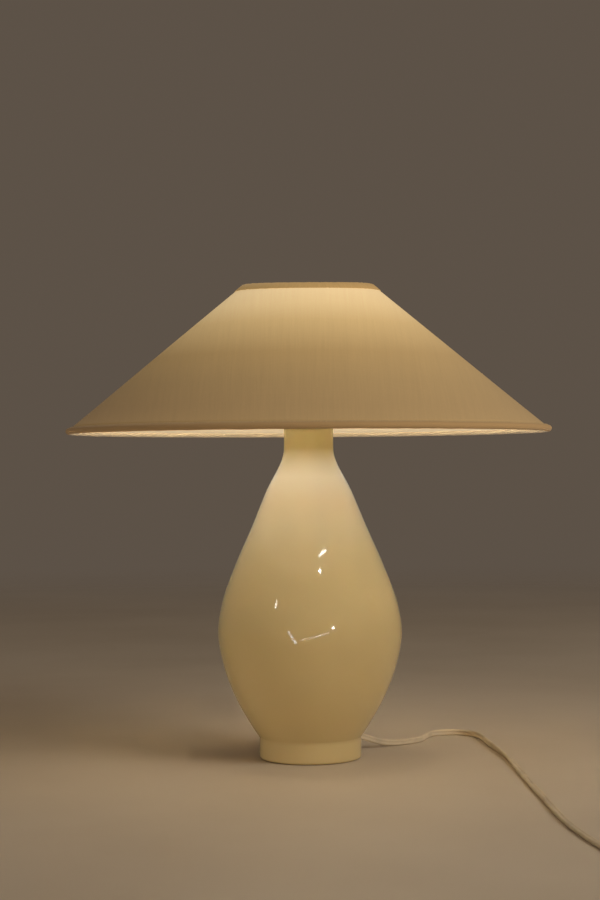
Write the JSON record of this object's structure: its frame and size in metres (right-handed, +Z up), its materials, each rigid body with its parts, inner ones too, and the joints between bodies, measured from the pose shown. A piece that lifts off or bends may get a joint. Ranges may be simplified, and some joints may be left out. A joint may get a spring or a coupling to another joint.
{
  "type": "table lamp",
  "caption": "Table lamp with a blown opal glass base, a shallow cone fabric shade that swivels, a screw-in bulb, and a flat flex with inline rocker switch and two-pin plug.",
  "frame": {"origin": "centre of the felt under the foot, on the table", "axes": "+Z up along the lamp axis, -Y towards the front, the flex leaves towards +X and +Y"},
  "size_m": [0.5364, 0.6316, 0.3896],
  "materials": {
    "opal_glass": "gloss",
    "felt": "matte",
    "cream_rubber": "matte",
    "black_rubber": "matte",
    "flex_pvc": "satin",
    "steel": "satin",
    "brass": "satin",
    "cork": "matte",
    "white_bakelite": "gloss",
    "nylon": "satin",
    "core_pvc": "satin",
    "porcelain": "gloss",
    "bronze": "satin",
    "white_wire": "satin",
    "lining": "matte",
    "shade_cloth": "matte",
    "edge_tape": "matte",
    "bulb_opal": "gloss",
    "nickel": "satin",
    "black_glass": "gloss",
    "clear_glass": "gloss",
    "tungsten": "satin",
    "tie_band": "matte",
    "switch_plastic": "satin",
    "plug_pvc": "satin"
  },
  "bodies": {
    "lamp": {"glass_body": "opal_glass", "foot_pad": "felt", "cord_grommet": "cream_rubber", "inner_lead": "flex_pvc", "neck_bung": "black_rubber", "bung_washers": "steel", "lower_nut": "steel", "threaded_tube": "brass", "neck_gasket": "cork", "neck_cap": "brass", "cap_nut": "steel", "holder_cap": "white_bakelite", "holder_grub_screw": "steel", "cord_grip": "nylon", "conductors": "core_pvc", "holder_insert": "porcelain", "terminal_screws": "brass", "centre_contact": "bronze", "holder_shell": "brass", "holder_skirt": "white_bakelite", "shade_ring_lower": "white_bakelite", "shade_ring_upper": "white_bakelite", "cord_lead": "flex_pvc", "cord_link": "flex_pvc", "cord_coil": "flex_pvc", "coil_tie": "tie_band", "cord_tail": "flex_pvc", "switch_base": "switch_plastic", "switch_cover": "switch_plastic", "switch_terminals": "brass", "switch_terminal_screws": "steel", "switch_screws": "steel", "switch_wires": "core_pvc", "switch_reliefs": "plug_pvc", "plug_body": "plug_pvc", "plug_pins": "nickel", "plug_sleeves": "plug_pvc", "plug_relief": "plug_pvc"},
    "shade": {"shade_fitter": "white_wire", "shade_arms": "white_wire", "shade_top_ring": "white_wire", "shade_bottom_ring": "white_wire", "lining_gores_odd": "lining", "lining_gores_even": "lining", "shade_fabric": "shade_cloth", "top_trim": "edge_tape", "bottom_trim": "edge_tape"},
    "bulb_carrier": {"bulb_contact": "nickel"},
    "bulb": {"bulb_glass": "bulb_opal", "bulb_cap": "nickel", "bulb_insulator": "black_glass", "bulb_stem": "clear_glass", "bulb_filament": "tungsten"},
    "rocker": {"switch_rocker": "switch_plastic", "switch_plunger": "steel"},
    "seesaw": {"switch_seesaw": "bronze"}
  },
  "joints": [
    {"name": "shade_swivel", "type": "hinge", "parent": "lamp", "child": "shade", "pos_m": [0, 0, 0.321], "axis": [0, 0, 1], "continuous": true},
    {"name": "bulb_lift", "type": "slide", "parent": "lamp", "child": "bulb_carrier", "axis": [0, 0, 1], "range_m": [0, 0.0182]},
    {"name": "bulb_turn", "type": "hinge", "parent": "bulb_carrier", "child": "bulb", "pos_m": [0, 0, 0.315], "axis": [0, 0, 1], "range_deg": [0, 1800]},
    {"name": "switch_rock", "type": "hinge", "parent": "lamp", "child": "rocker", "pos_m": [0.25, -0.331, 0.014], "axis": [1, 0, 0], "range_deg": [0, 18]},
    {"name": "seesaw_rock", "type": "hinge", "parent": "lamp", "child": "seesaw", "pos_m": [0.25, -0.331, 0.0047], "axis": [1, 0, 0], "range_deg": [-10.9, 0]}
  ],
  "couplings": [
    {"joint": "bulb_lift", "follows": "bulb_turn", "m_per_rad": 0.00057757},
    {"joint": "seesaw_rock", "follows": "switch_rock", "ratio": -0.6}
  ]
}
